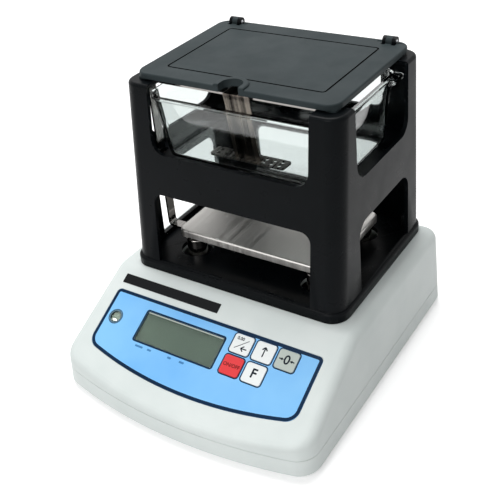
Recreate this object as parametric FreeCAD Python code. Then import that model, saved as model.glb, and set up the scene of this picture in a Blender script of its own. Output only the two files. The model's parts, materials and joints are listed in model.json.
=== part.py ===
import FreeCAD, Part
import math
import os

os.makedirs("parts", exist_ok=True)

# Benchtop density meter: a sloped-front balance base that carries an open windshield frame, with a
# weighing stand inside the frame and a clear water tank above it. Millimetres, +X right, +Y to the
# back, +Z up, origin on the bench under the middle of the base.

V = FreeCAD.Vector
X = V(1, 0, 0)
Y = V(0, 1, 0)
Z = V(0, 0, 1)

# Base case
CASE_BOTTOM = 5.0          # underside of the tray above the bench
CASE_HALF_W = 108.5
CASE_FRONT = -121.5
CASE_BACK = 121.5
CASE_DRAFT = math.radians(4.0)
BACK_DRAFT = math.radians(1.3)
FRONT_ARC_R = 400.0
FRONT_CORNER_R = 17.0
BACK_CORNER_R = 12.0
CASE_EDGE_R = 8.0
WALL = 2.8
SEAM_Z = 18.0
SEAM_GAP = 0.4

# Deck and sloped panel
DECK_Z = 68.6
KNEE_Y = -31.7
PANEL_DEG = 27.7
PANEL = math.radians(PANEL_DEG)
KNEE_R = 18.0

# Keypad, in the panel's own frame: x across, v up the slope from the knee, w out of the panel
PAD_HALF_W = 90.0
PAD_TOP = -21.5
PAD_FOOT = -81.5
PAD_FOOT_ARC_R = 335.0
PAD_TOP_R = 3.5
PAD_FOOT_R = 10.0
PAD_RECESS = 2.2
PAD_BACKING = 5.2
CIRCUIT_T = 0.4
SPACER_T = 1.0
OVERLAY_T = 0.8
KEY_W = 15.5
KEY_H = 14.4
KEY_R = 2.0
KEY_PROUD = 0.5
KEY_CLEAR = 0.25
KEY_FIRST_X = 29.1
KEY_FIRST_V = -31.85
KEY_PITCH_X = 18.34
KEY_PITCH_V = 16.86
LCD_X = (-55.0, 14.7)
LCD_V = (-55.5, -31.3)
VIAL_X = -79.6
VIAL_V = -43.9
VIAL_R = 5.3

# Weighing chamber: y is counted from the lid's centre line
LID_Y = 52.5
PLINTH_TOP = 76.0
PLINTH_HALF_W = 91.5
PLINTH_FRONT = LID_Y - 81.2
PLINTH_BACK = LID_Y + 65.0
FRAME_TOP = 215.5
FRAME_WALL = 3.0
FOOT_HALF_W = 89.5
FOOT_FRONT = LID_Y - 78.7
FOOT_BACK = LID_Y + 63.0
TOP_HALF_W = 86.0
TOP_FRONT = LID_Y - 65.0
TOP_BACK = LID_Y + 60.5
POST_R = 12.0
CAP_T = 3.0

# Windows of the frame
FRONT_LOW = (66.0, PLINTH_TOP, 133.5, 8.0)
FRONT_HIGH = (64.0, 165.5, 240.0, 11.0)
SIDE_LOW = (LID_Y - 45.0, LID_Y + 37.0, PLINTH_TOP, 130.0, 12.0)
SIDE_HIGH = (LID_Y - 45.0, LID_Y + 37.0, 163.0, 240.0, 12.0)
BACK_LOW = (57.0, 90.0, 136.0, 10.0)
BACK_HIGH = (57.0, 168.0, 205.0, 10.0)

# Lid
LID_HALF_W = 79.6
LID_FRONT = LID_Y - 57.8
LID_BACK = LID_Y + 57.8
LID_BOTTOM = 217.0
LID_TOP = 221.0
LID_R = 10.0
NOTCH_R = 8.0
NOTCH_DEPTH = 12.5
BEAD_R = 12.0
HINGE_X = 65.0
HINGE_Y = LID_BACK - 3.8
HINGE_Z = 222.0
HINGE_R = 3.5
HINGE_PIN_R = 1.5
HINGE_CLEAR = 0.05

# Water tank and its shelf
SHELF_Z = (149.0, 152.0)
TANK_WALL = 2.2
TANK_RIM_Z = 203.5
TANK_FOOT = (70.0, LID_Y - 48.0, LID_Y + 42.0, 10.0)
TANK_RIM = (74.0, LID_Y - 57.0, LID_Y + 49.0, 14.0)

# Weighing stand
POST_X = 54.0
POST_Y = (LID_Y - 45.0, LID_Y + 28.0)
POST_HOLE_R = 13.0
STAND_POST_R = 8.0
POST_NECK_Z = 82.5
PAN_HALF_W = 66.0
PAN_Y = (LID_Y - 52.0, LID_Y + 35.0)
PAN_TOP = 90.0
PAN_T = 1.5
BAR_Y = (LID_Y - 47.0, LID_Y - 39.0)
BAR_X = 78.7
BAR_Z = (210.0, 211.5)
SHEET = 1.5

# Load cell
CELL_Y = (-30.0, 100.0)
CELL_Z = (22.0, 44.0)
CELL_HALF_W = 15.0
SPIDER_Z = (50.0, 53.0)

# Levelling feet
FOOT_PLACES = {"front_left": (-85.0, -88.0), "front_right": (85.0, -88.0),
               "back_left": (-85.0, 98.0), "back_right": (85.0, 98.0)}
PAD_R = 9.0
WHEEL_R = 11.0
STEM_R = 2.95
STEM_BORE_R = 3.0
POCKET_R = 13.5
POCKET_TOP = 9.0

# Rear panel fittings: centre x and z
INLET = (-60.0, 36.0)
PORT = (-10.0, 36.0)
ROCKER = (60.0, 36.0)
REAR_BOARD_Y = 104.0
PORT_SEAT_Y = 117.8
ROCKER_PIVOT_Y = 112.5
ROCKER_TILT = 6.0
TRUNNION_R = 1.0


def save(node, shape):
    shape.exportStep("parts/" + node + ".step")
    solids = len(shape.Solids)
    print(node, "solids", solids, "valid", shape.isValid(), "faces", len(shape.Faces))


def box(x0, x1, y0, y1, z0, z1):
    return Part.makeBox(x1 - x0, y1 - y0, z1 - z0, V(x0, y0, z0))


def rod(r, x, y, z0, z1):
    return Part.makeCylinder(r, z1 - z0, V(x, y, z0), Z)


def fuse(shapes):
    whole = shapes[0]
    for shape in shapes[1:]:
        whole = whole.fuse(shape)
    return whole.removeSplitter()


def arc(a, middle, b):
    return Part.Arc(a, middle, b).toShape()


def rounded_wire(x0, x1, y0, y1, r, z):
    """A rectangle with round corners, one radius or four from the front left round to the back left."""
    radii = [r] * 4 if isinstance(r, (int, float)) else r
    corners = [(x0, y0, 180.0), (x1, y0, 270.0), (x1, y1, 0.0), (x0, y1, 90.0)]
    inward = [(1, 1), (-1, 1), (-1, -1), (1, -1)]
    stretches = []
    for (cx, cy, start), (ix, iy), radius in zip(corners, inward, radii):
        centre = V(cx + ix * radius, cy + iy * radius, z)
        points = []
        for turn in (0.0, 45.0, 90.0):
            angle = math.radians(start + turn)
            points.append(centre + V(math.cos(angle), math.sin(angle), 0) * radius)
        stretches.append(points)
    edges = []
    for number, points in enumerate(stretches):
        if radii[number] > 0:
            edges.append(arc(*points))
        following = stretches[(number + 1) % 4][0]
        edges.append(Part.makeLine(points[2], following))
    return Part.Wire(edges)


def slab(x0, x1, y0, y1, z0, z1, r):
    """A straight prism with round vertical corners."""
    return Part.Face(rounded_wire(x0, x1, y0, y1, r, z0)).extrude(V(0, 0, z1 - z0))


def tapered(low, high):
    """A prism that narrows from one rounded rectangle to another."""
    return Part.makeLoft([rounded_wire(*low), rounded_wire(*high)], True, True)


def through_front(half_w, z0, z1, y0, y1, r):
    """A rounded window cut along Y."""
    window = slab(-half_w, half_w, z0, z1, 0, y1 - y0, r)
    window.rotate(V(0, 0, 0), X, 90)
    window.translate(V(0, y1, 0))
    return window


def through_side(y0, y1, z0, z1, x0, x1, r):
    """A rounded window cut along X."""
    window = slab(y0, y1, z0, z1, 0, x1 - x0, r)
    window.rotate(V(0, 0, 0), X, 90)
    window.rotate(V(0, 0, 0), Z, 90)
    window.translate(V(x0, 0, 0))
    return window


def rounded_edges(shape, r, chosen):
    edges = [edge for edge in shape.Edges if chosen(edge)]
    return shape.makeFillet(r, edges)


def middle_of(edge):
    return edge.valueAt((edge.FirstParameter + edge.LastParameter) / 2)


def level_edges(z):
    """Chooses the edges that lie in one level plane."""
    def chosen(edge):
        box_of_edge = edge.BoundBox
        return abs(box_of_edge.ZMin - z) < 0.01 and abs(box_of_edge.ZMax - z) < 0.01
    return chosen


def on_panel(shape):
    """Takes a shape from the panel's own frame to its place on the slope."""
    placed = shape.copy()
    placed.rotate(V(0, 0, 0), X, PANEL_DEG)
    placed.translate(V(0, KNEE_Y, DECK_Z))
    return placed


def screw(x, y, z_head, length, head_r=3.0, shank_r=1.5, head_t=2.0, upward=False):
    """A pan-head screw: the head's seat is at z_head and the shank goes down from it, or up."""
    turn = -1 if upward else 1
    head = Part.makeCylinder(head_r, head_t, V(x, y, z_head), Z * turn)
    head = rounded_edges(head, head_t * 0.45, lambda e: abs(middle_of(e).z - z_head) > head_t - 0.01
                         and len(e.Vertexes) == 1)
    shank = Part.makeCylinder(shank_r, length, V(x, y, z_head), Z * -turn)
    slot_z = z_head + turn * head_t
    slot = box(x - head_r * 0.7, x + head_r * 0.7, y - 0.35, y + 0.35, slot_z - 0.7, slot_z + 0.7)
    return head.cut(slot).fuse(shank)


# Base ------------------------------------------------------------------------------------------

def plan_wire(z, inset):
    """Outline of the case at one height: straight sides, a bowed front and round corners."""
    rise = z - CASE_BOTTOM
    half = CASE_HALF_W - rise * math.tan(CASE_DRAFT) - inset
    front = CASE_FRONT + rise * math.tan(CASE_DRAFT) + inset
    back = CASE_BACK - rise * math.tan(BACK_DRAFT) - inset
    bow = FRONT_ARC_R - inset
    corner = FRONT_CORNER_R - inset
    back_r = BACK_CORNER_R - inset
    bow_y = front + bow
    corner_x = half - corner
    corner_y = bow_y - math.sqrt((bow - corner) ** 2 - corner_x ** 2)
    toward = V(corner_x, corner_y - bow_y, 0)
    toward.normalize()
    meet = V(0, bow_y, z) + toward * bow
    half_way = V(toward.x + 1.0, toward.y, 0)
    half_way.normalize()
    corner_middle = V(corner_x, corner_y, z) + half_way * corner

    def flip(p):
        return V(-p.x, p.y, p.z)

    side_low = V(half, corner_y, z)
    side_high = V(half, back - back_r, z)
    back_end = V(half - back_r, back, z)
    diagonal = back_r * math.sqrt(0.5)
    back_middle = V(half - back_r + diagonal, back - back_r + diagonal, z)
    return Part.Wire([
        arc(flip(meet), V(0, front, z), meet),
        arc(meet, corner_middle, side_low),
        Part.makeLine(side_low, side_high),
        arc(side_high, back_middle, back_end),
        Part.makeLine(back_end, flip(back_end)),
        arc(flip(back_end), flip(back_middle), flip(side_high)),
        Part.makeLine(flip(side_high), flip(side_low)),
        arc(flip(side_low), flip(corner_middle), flip(meet)),
    ])


def knee_points(inset):
    """The deck line, the rounded knee and the slope line in the YZ plane, moved in by inset."""
    r = KNEE_R - inset
    corner_y = KNEE_Y + inset * math.tan(PANEL / 2)
    top = DECK_Z - inset
    run = r * math.tan(PANEL / 2)
    start = V(0, corner_y + run, top)
    end = V(0, corner_y - run * math.cos(PANEL), top - run * math.sin(PANEL))
    centre = V(0, corner_y + run, top - r)
    bend = centre + V(0, -math.sin(PANEL / 2), math.cos(PANEL / 2)) * r
    return start, bend, end


def side_prism(inset):
    """Everything under the deck and the slope, wider than the case."""
    start, bend, end = knee_points(inset)
    far = 120.0
    deck_end = V(0, 160, start.z)
    foot_back = V(0, 160, -10)
    slope_end = end + V(0, -math.cos(PANEL), -math.sin(PANEL)) * far
    foot_front = V(0, slope_end.y, -10)
    corners = [end, slope_end, foot_front, foot_back, deck_end, start]
    if slope_end.z < -10:
        corners = [end, slope_end, V(0, slope_end.y, slope_end.z - 5), V(0, 160, slope_end.z - 5), deck_end, start]
    edges = [Part.makeLine(a, b) for a, b in zip(corners, corners[1:])]
    edges.append(arc(start, bend, end))
    face = Part.Face(Part.Wire(edges))
    prism = face.extrude(V(300, 0, 0))
    prism.translate(V(-150, 0, 0))
    return prism


def case_form(inset):
    """The outer form of the base, or the same form moved in by inset, with its rounded top edges."""
    top = 85.0
    body = Part.makeLoft([plan_wire(CASE_BOTTOM, inset), plan_wire(top, inset)], True, True)
    body = body.common(side_prism(inset))
    start, bend, end = knee_points(inset)

    def is_rim(edge):
        middle = middle_of(edge)
        if abs(middle.x) < 1.0 and end.y - 1 < middle.y < start.y + 1:
            return False
        ends = [edge.valueAt(edge.FirstParameter), middle, edge.valueAt(edge.LastParameter)]
        return all(abs(p.z - top_height(p.y, inset)) < 0.02 for p in ends)

    return rounded_edges(body, CASE_EDGE_R - inset, is_rim)


def top_height(y, inset):
    """Height of the case's top at one y."""
    start, bend, end = knee_points(inset)
    if y >= start.y:
        return start.z
    if y <= end.y:
        return end.z - (end.y - y) * math.tan(PANEL)
    r = KNEE_R - inset
    return start.z - r + math.sqrt(r * r - (start.y - y) ** 2)


def keypad_wire(margin, w):
    """Outline of the keypad: straight top and sides, a bowed foot."""
    half = PAD_HALF_W + margin
    top = PAD_TOP + margin
    foot = PAD_FOOT - margin
    bow = PAD_FOOT_ARC_R + margin
    top_r = PAD_TOP_R + margin
    foot_r = PAD_FOOT_R + margin
    bow_v = foot + bow
    corner_x = half - foot_r
    corner_v = bow_v - math.sqrt((bow - foot_r) ** 2 - corner_x ** 2)
    toward = V(corner_x, corner_v - bow_v, 0)
    toward.normalize()
    meet = V(0, bow_v, w) + toward * bow
    half_way = V(toward.x + 1.0, toward.y, 0)
    half_way.normalize()
    corner_middle = V(corner_x, corner_v, w) + half_way * foot_r
    low = V(half, corner_v, w)
    high = V(half, top - top_r, w)
    diagonal = top_r * math.sqrt(0.5)
    high_middle = V(half - top_r + diagonal, top - top_r + diagonal, w)
    high_end = V(half - top_r, top, w)

    def flip(p):
        return V(-p.x, p.y, p.z)

    return Part.Wire([
        arc(flip(meet), V(0, foot, w), meet),
        arc(meet, corner_middle, low),
        Part.makeLine(low, high),
        arc(high, high_middle, high_end),
        Part.makeLine(high_end, flip(high_end)),
        arc(flip(high_end), flip(high_middle), flip(high)),
        Part.makeLine(flip(high), flip(low)),
        arc(flip(low), flip(corner_middle), flip(meet)),
    ])


def keypad_layer(margin, w0, w1):
    return Part.Face(keypad_wire(margin, w0)).extrude(V(0, 0, w1 - w0))


def key_centres():
    """Names and centres of the five keys, two rows that start at one corner."""
    layout = [("key_return", 0, 0), ("key_up", 1, 0), ("key_zero", 2, 0),
              ("key_mode", 0, 1), ("key_function", 1, 1)]
    return [(name, KEY_FIRST_X + column * KEY_PITCH_X, KEY_FIRST_V - row * KEY_PITCH_V)
            for name, column, row in layout]


def key_block(cx, cv, grow, w0, w1):
    return slab(cx - KEY_W / 2 - grow, cx + KEY_W / 2 + grow, cv - KEY_H / 2 - grow, cv + KEY_H / 2 + grow,
                w0, w1, KEY_R + grow)


def lcd_block(grow, w0, w1):
    return slab(LCD_X[0] - grow, LCD_X[1] + grow, LCD_V[0] - grow, LCD_V[1] + grow, w0, w1, 1.0 + max(grow, 0))


def frame_screw_places():
    return [(x, y) for x in (-82.0, 82.0) for y in (-18.0, 107.0)]


def case_screw_places():
    return [(-62.0, -100.0), (62.0, -100.0), (-34.0, 109.0), (34.0, 109.0)]


def make_upper_housing():
    form = case_form(0.0)
    above = box(-150, 150, -150, 150, SEAM_Z + SEAM_GAP / 2, 120)
    shell = form.common(above)
    backing = keypad_layer(6.0, -PAD_BACKING, 0.0)
    cavity = case_form(WALL).cut(on_panel(backing))
    shell = shell.cut(cavity)
    shell = shell.cut(on_panel(keypad_layer(0.3, -PAD_RECESS, 5.0)))
    cuts = [on_panel(lcd_block(1.5, -20, 2)), on_panel(rod(VIAL_R + 0.6, VIAL_X, VIAL_V, -20, 2)),
            on_panel(slab(20, 50, -66, -63.5, -20, 0, 0.5))]
    for x in (-POST_X, POST_X):
        for y in POST_Y:
            cuts.append(rod(POST_HOLE_R, x, y, 50, 80))
    for x, y in frame_screw_places():
        cuts.append(rod(1.7, x, y, 50, 80))
    shell = shell.cut(Part.makeCompound(cuts))
    reach = case_form(WALL - 1.0).cut(on_panel(keypad_layer(0.3, 1.0 - PAD_BACKING, 5.0)))
    for x, y in case_screw_places():
        boss = rod(4.5, x, y, SEAM_Z + 1.0, DECK_Z).common(reach)
        shell = shell.fuse(boss.cut(rod(1.5, x, y, 0, top_height(y, WALL) - 3.0)))
    return shell.cut(Part.makeCompound(rear_cutouts()))


BOARD_Z = 21.0


def board_screw_places():
    return [(x, y) for x in (-48.0, 58.0) for y in (-88.0, -44.0)]


def rear_cutouts():
    inlet = Part.makeCylinder(4.0, 20, V(INLET[0], 110, INLET[1]), Y)
    port = box(PORT[0] - 8.6, PORT[0] + 8.6, 110, 130, PORT[1] - 4.6, PORT[1] + 4.6)
    rocker = box(ROCKER[0] - 10.5, ROCKER[0] + 10.5, 110, 130, ROCKER[1] - 7.5, ROCKER[1] + 7.5)
    return [inlet, port, rocker]


def make_base_tray():
    form = case_form(0.0)
    low = form.common(box(-150, 150, -150, 150, 0, SEAM_Z - SEAM_GAP / 2))
    inner = case_form(WALL)
    tray = low.cut(inner.common(box(-150, 150, -150, 150, CASE_BOTTOM + 3.0, 40)))
    lip = case_form(WALL + 0.15).common(box(-150, 150, -150, 150, SEAM_Z - 5.0, SEAM_Z + 2.5))
    root = case_form(WALL - 0.5).common(box(-150, 150, -150, 150, SEAM_Z - 5.0, SEAM_Z - 2.0))
    adds = [tray, lip.fuse(root).cut(case_form(WALL + 1.8))]
    for x, y in FOOT_PLACES.values():
        adds.append(rod(POCKET_R + 2.5, x, y, CASE_BOTTOM, POCKET_TOP + 2.5))
        adds.append(rod(6.0, x, y, POCKET_TOP, 24.0))
    for x, y in case_screw_places():
        adds.append(rod(5.0, x, y, CASE_BOTTOM, SEAM_Z + 1.0))
    for x, y in board_screw_places():
        adds.append(rod(3.2, x, y, CASE_BOTTOM, BOARD_Z))
    for x in (-34.0, 34.0):
        adds.append(box(x - 1.0, x + 1.0, -95, 112, CASE_BOTTOM, CASE_BOTTOM + 7.0))
    tray = fuse(adds)
    cuts = []
    for x, y in FOOT_PLACES.values():
        cuts.append(rod(POCKET_R, x, y, 0, POCKET_TOP))
        cuts.append(rod(STEM_BORE_R, x, y, 0, 30))
    for x, y in case_screw_places():
        cuts.append(rod(3.6, x, y, 0, CASE_BOTTOM + 4.0))
        cuts.append(rod(1.7, x, y, 0, 30))
    for x, y in board_screw_places():
        cuts.append(rod(1.2, x, y, CASE_BOTTOM + 3.0, 30))
    for y in fixed_screw_rows():
        cuts.append(rod(2.2, 0, y, 0, 20))
        cuts.append(rod(4.2, 0, y, 0, CASE_BOTTOM + 1.5))
    return tray.cut(Part.makeCompound(cuts))


# Keypad and display ----------------------------------------------------------------------------

def make_keypad_circuit():
    sheet = keypad_layer(0.0, -PAD_RECESS, -PAD_RECESS + CIRCUIT_T)
    sheet = sheet.cut(lcd_block(1.5, -5, 5)).cut(rod(VIAL_R + 0.6, VIAL_X, VIAL_V, -5, 5))
    tail = box(22, 48, -65.6, -63.9, -9.0, -PAD_RECESS + CIRCUIT_T)
    return on_panel(sheet.cut(box(21.5, 48.5, -66, -65.6, -5, 5)).fuse(tail).removeSplitter())


def make_keypad_spacer():
    low = -PAD_RECESS + CIRCUIT_T
    sheet = keypad_layer(0.0, low, low + SPACER_T)
    cuts = [lcd_block(1.5, -5, 5), rod(VIAL_R + 0.6, VIAL_X, VIAL_V, -5, 5)]
    for name, cx, cv in key_centres():
        cuts.append(key_block(cx, cv, KEY_CLEAR, -5, 5))
    return on_panel(sheet.cut(Part.makeCompound(cuts)))


def make_key_domes():
    low = -PAD_RECESS + CIRCUIT_T
    rise = 0.4
    reach = 5.0
    sphere_r = (reach ** 2 + rise ** 2) / (2 * rise)
    domes = []
    for name, cx, cv in key_centres():
        ball = Part.makeSphere(sphere_r, V(cx, cv, low + rise - sphere_r))
        domes.append(on_panel(ball.common(rod(reach + 1, cx, cv, low, low + 1))))
    return Part.makeCompound(domes)


def make_keypad_overlay():
    sheet = keypad_layer(0.0, -OVERLAY_T, 0.0)
    cuts = [lcd_block(0.0, -5, 5), rod(VIAL_R, VIAL_X, VIAL_V, -5, 5)]
    for name, cx, cv in key_centres():
        cuts.append(key_block(cx, cv, KEY_CLEAR, -5, 5))
    return on_panel(sheet.cut(Part.makeCompound(cuts)))


def make_key(cx, cv):
    cap = key_block(cx, cv, 0.0, -OVERLAY_T, KEY_PROUD)
    cap = rounded_edges(cap, 0.35, level_edges(KEY_PROUD))
    return on_panel(cap)


def make_lcd_window():
    pane = lcd_block(-0.1, -OVERLAY_T, -0.1)
    flange = lcd_block(1.3, -PAD_RECESS + 0.1, -OVERLAY_T)
    return on_panel(pane.fuse(flange).removeSplitter())


def make_lcd_module():
    glass = lcd_block(1.0, -5.0, -PAD_RECESS + 0.05)
    board = slab(LCD_X[0] - 6, LCD_X[1] + 6, LCD_V[0] - 5, LCD_V[1] + 5, -PAD_BACKING - 1.6, -PAD_BACKING, 1.0)
    glass = lcd_block(1.0, -PAD_BACKING, -PAD_RECESS + 0.05)
    chips = [slab(x - 4, x + 4, -46, -38, -PAD_BACKING - 3.2, -PAD_BACKING - 1.5, 0.3) for x in (-40, -20, 0)]
    return on_panel(fuse([board, glass] + chips))


def make_level_vial():
    low = -6.0
    vial = rod(VIAL_R - 1.0, VIAL_X, VIAL_V, low, 0.4)
    vial = rounded_edges(vial, 1.0, level_edges(0.4))
    return on_panel(vial)


def make_level_ring():
    low = -7.2
    cup = rod(VIAL_R - 0.05, VIAL_X, VIAL_V, low, 0.2)
    flange = rod(VIAL_R + 0.5, VIAL_X, VIAL_V, low, -OVERLAY_T)
    bore = rod(VIAL_R - 0.95, VIAL_X, VIAL_V, -6.0, 5.0)
    return on_panel(fuse([cup, flange]).cut(bore))


def make_main_board():
    board = slab(-56, 66, -94, -36, BOARD_Z, BOARD_Z + 1.6, 2.0)
    parts = [board]
    for x, y, a, b, h in ((-20, -74, 14, 14, 1.8), (12, -74, 9, 12, 1.6), (34, -60, 7, 18, 6.0),
                          (-38, -56, 10, 8, 2.2), (0, -52, 22, 6, 7.0)):
        parts.append(box(x - a / 2, x + a / 2, y - b / 2, y + b / 2, BOARD_Z + 1.5, BOARD_Z + 1.6 + h))
    for x in (-30, -18, 18, 30):
        parts.append(rod(2.5, x, -43, BOARD_Z + 1.5, BOARD_Z + 9.0))
    board = fuse(parts)
    holes = [rod(1.3, x, y, 0, 40) for x, y in board_screw_places()]
    return board.cut(Part.makeCompound(holes))


# Windshield frame ------------------------------------------------------------------------------

def frame_section(z, inset):
    """Rounded rectangle of the leaning frame walls at one height."""
    share = (z - PLINTH_TOP) / (FRAME_TOP - PLINTH_TOP)
    half = FOOT_HALF_W + (TOP_HALF_W - FOOT_HALF_W) * share - inset
    front = FOOT_FRONT + (TOP_FRONT - FOOT_FRONT) * share + inset
    back = FOOT_BACK + (TOP_BACK - FOOT_BACK) * share - inset
    return (-half, half, front, back, POST_R - inset, z)


def frame_block(z0, z1, inset):
    return tapered(frame_section(z0, inset), frame_section(z1, inset))


def make_windshield_frame():
    outer = frame_block(PLINTH_TOP - 2.0, FRAME_TOP, 0.0)
    outer = rounded_edges(outer, 2.5, level_edges(FRAME_TOP))
    plinth = slab(-PLINTH_HALF_W, PLINTH_HALF_W, PLINTH_FRONT, PLINTH_BACK, DECK_Z, PLINTH_TOP, POST_R + 2.0)
    plinth = rounded_edges(plinth, 2.0, level_edges(PLINTH_TOP))
    frame = outer.fuse(plinth).removeSplitter()
    frame = frame.cut(frame_block(DECK_Z - 5.0, FRAME_TOP - CAP_T, FRAME_WALL))
    opening = slab(-FRONT_HIGH[0], FRONT_HIGH[0], SIDE_HIGH[0] - 40.0, TOP_BACK - FRAME_WALL - 0.5,
                   FRAME_TOP - 10, FRAME_TOP + 10, 2.0)
    across = slab(-100, 100, SIDE_HIGH[0], SIDE_HIGH[1], FRAME_TOP - 10, FRAME_TOP + 10, 2.0)
    half_w, z0, z1, r = FRONT_LOW
    cuts = [opening, across, through_front(half_w, z0, z1, -60, 40, [0.0, 0.0, r, r])]
    half_w, z0, z1, r = FRONT_HIGH
    cuts.append(through_front(half_w, z0, z1, -60, 40, r))
    for half_w, z0, z1, r in (BACK_LOW, BACK_HIGH):
        cuts.append(through_front(half_w, z0, z1, 90, 140, r))
    y0, y1, z0, z1, r = SIDE_LOW
    cuts.append(through_side(y0, y1, z0, z1, -120, 120, [0.0, 0.0, r, r]))
    y0, y1, z0, z1, r = SIDE_HIGH
    cuts.append(through_side(y0, y1, z0, z1, -120, 120, r))
    for cut in cuts:
        frame = frame.cut(cut)
    bosses = []
    for x, y in shelf_screw_places():
        boss = rod(4.5, x, y, SHELF_Z[0] - 12.0, SHELF_Z[0])
        x0, x1 = sorted((x, x + math.copysign(9.0, x)))
        bosses.append(boss.fuse(box(x0, x1, y - 1.5, y + 1.5, SHELF_Z[0] - 12.0, SHELF_Z[0])))
    for x, y in frame_screw_places():
        bosses.append(rod(5.5, x, y, DECK_Z, DECK_Z + 12.0))
    bound = frame_block(DECK_Z, FRAME_TOP, 0.5)
    frame = fuse([frame] + [boss.common(bound) for boss in bosses])
    holes = [rod(1.5, x, y, SHELF_Z[0] - 10.0, SHELF_Z[0] + 1) for x, y in shelf_screw_places()]
    holes += [rod(1.5, x, y, DECK_Z - 1, DECK_Z + 10.0) for x, y in frame_screw_places()]
    return frame.cut(Part.makeCompound(holes))


def shelf_screw_places():
    return [(x, y) for x in (-79.0, 79.0) for y in (-9.5, 104.0)]


def make_chamber_floor():
    section = frame_section(DECK_Z, FRAME_WALL + 0.3)
    half = section[1]
    plate = slab(-half, half, section[2], section[3], DECK_Z, DECK_Z + 3.4, POST_R - FRAME_WALL)
    plate = plate.common(frame_block(DECK_Z, FRAME_TOP, FRAME_WALL + 0.1))
    holes = [rod(POST_HOLE_R, x, y, 60, 90) for x in (-POST_X, POST_X) for y in POST_Y]
    holes += [rod(6.0, x, y, 60, 90) for x, y in frame_screw_places()]
    return plate.cut(Part.makeCompound(holes))


def make_tank_shelf():
    section = frame_section(SHELF_Z[1], FRAME_WALL + 0.1)
    plate = slab(section[0], section[1], section[2], section[3], SHELF_Z[0], SHELF_Z[1], POST_R - FRAME_WALL)
    opening = slab(-67, 67, LID_Y - 44, LID_Y + 38, 140, 160, 8.0)
    cuts = [opening]
    for side in (-1, 1):
        cuts.append(slab(side * 78 - 3, side * 78 + 3, BAR_Y[0] - 2.5, BAR_Y[1] + 2.5, 140, 160, 2.0))
    for x, y in shelf_screw_places():
        cuts.append(rod(1.7, x, y, 140, 160))
    return plate.cut(Part.makeCompound(cuts))


# Lid and hinge ---------------------------------------------------------------------------------

def notch_prism(r, depth, z0, z1):
    """A U-shaped prism, open to the front edge of the lid, with a round back."""
    y_round = LID_FRONT + depth - r
    return box(-r, r, LID_FRONT - 5, y_round, z0, z1).fuse(rod(r, 0, y_round, z0, z1)).removeSplitter()


def make_lid():
    plate = slab(-LID_HALF_W, LID_HALF_W, LID_FRONT, LID_BACK, LID_BOTTOM, LID_TOP, LID_R)
    plate = rounded_edges(plate, 1.2, level_edges(LID_TOP))
    groove = slab(-63.3, 63.3, LID_Y - 41.8, LID_Y + 41.6, LID_TOP - 0.8, LID_TOP + 1, 3.5)
    groove = groove.cut(slab(-61.9, 61.9, LID_Y - 40.4, LID_Y + 40.2, LID_TOP - 2, LID_TOP + 2, 2.1))
    plate = plate.cut(groove)
    bead = notch_prism(BEAD_R, NOTCH_DEPTH + 4.0, LID_TOP - 3.0, LID_TOP + 1.5)
    bead = bead.common(box(-30, 30, LID_FRONT, LID_FRONT + 40, 0, 300))
    bead = rounded_edges(bead, 1.4, level_edges(LID_TOP + 1.5))
    lid = plate.fuse(bead).removeSplitter()
    lid = lid.cut(notch_prism(NOTCH_R, NOTCH_DEPTH, LID_BOTTOM - 5, LID_TOP + 5))
    for side in (-1, 1):
        x = side * HINGE_X
        lid = lid.cut(box(x - 5.5, x + 5.5, HINGE_Y - 5.5, LID_BACK + 1, LID_BOTTOM - 1, LID_TOP + 1))
        web = box(x - 2.3, x + 2.3, HINGE_Y - 8.0, HINGE_Y, LID_BOTTOM, LID_TOP)
        knuckle = Part.makeCylinder(HINGE_R, 4.6, V(x - 2.3, HINGE_Y, HINGE_Z), X)
        foot = slab(x * 1.14 - 4, x * 1.14 + 4, LID_FRONT + 2, LID_FRONT + 10, FRAME_TOP + 0.1, LID_BOTTOM, 2.0)
        lid = lid.fuse(web).fuse(knuckle).fuse(foot)
        lid = lid.cut(Part.makeCylinder(HINGE_PIN_R + HINGE_CLEAR, 20, V(x - 10, HINGE_Y, HINGE_Z), X))
    return lid.removeSplitter()


def make_hinge_brackets():
    brackets = []
    for side in (-1, 1):
        x = side * HINGE_X
        foot = box(x - 5.0, x + 5.0, HINGE_Y - 4.5, HINGE_Y + 4.5, FRAME_TOP, FRAME_TOP + 1.3)
        ears = []
        for start in (x - 5.0, x + 2.5):
            ear = Part.makeCylinder(HINGE_R, 2.5, V(start, HINGE_Y, HINGE_Z), X)
            web = box(start, start + 2.5, HINGE_Y - HINGE_R, HINGE_Y + HINGE_R, FRAME_TOP, HINGE_Z)
            ears.append(ear.fuse(web))
        bracket = fuse([foot] + ears)
        bracket = bracket.cut(Part.makeCylinder(HINGE_PIN_R, 20, V(x - 10, HINGE_Y, HINGE_Z), X))
        brackets.append(bracket)
    return Part.makeCompound(brackets)


def make_hinge_pins():
    return Part.makeCompound([Part.makeCylinder(HINGE_PIN_R, 10.0, V(side * HINGE_X - 5.0, HINGE_Y, HINGE_Z), X)
                              for side in (-1, 1)])


# Water tank ------------------------------------------------------------------------------------

def tank_block(inset, z0, z1):
    """The tank's leaning form between two heights, moved in by inset."""
    def section(z):
        share = (z - SHELF_Z[1]) / (TANK_RIM_Z - SHELF_Z[1])
        half, front, back, r = [a + (b - a) * share for a, b in zip(TANK_FOOT, TANK_RIM)]
        return (-half + inset, half - inset, front + inset, back - inset, r - inset, z)
    return tapered(section(z0), section(z1))


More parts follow.
